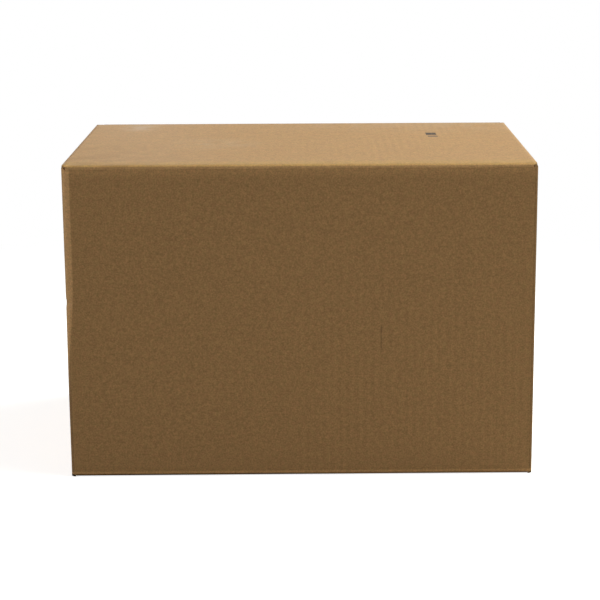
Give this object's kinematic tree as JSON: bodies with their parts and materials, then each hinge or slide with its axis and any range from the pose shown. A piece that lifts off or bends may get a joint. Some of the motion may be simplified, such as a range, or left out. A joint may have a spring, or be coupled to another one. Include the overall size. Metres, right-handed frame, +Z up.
{
  "type": "cardboard box",
  "caption": "Plain corrugated cardboard box with a hinged lid that tucks in behind the rear wall, dust flaps under the lid and a glued flap bottom.",
  "frame": {"origin": "middle of the underside, where the box stands", "axes": "+X along the box's length, -Y out of the front panel that carries the lid, +Z up"},
  "size_m": [0.458, 0.306, 0.312],
  "materials": {
    "carton_board": "matt brown kraft liner",
    "lid_board": "matt brown kraft liner"
  },
  "bodies": {
    "carton": {"carton": "carton_board"},
    "lid": {"lid_flap": "lid_board"}
  },
  "joints": [
    {"name": "lid_hinge", "type": "hinge", "parent": "carton", "child": "lid", "pos_m": [0, -0.153, 0.312], "axis": [1, 0, 0], "range_deg": [0, 250]}
  ]
}
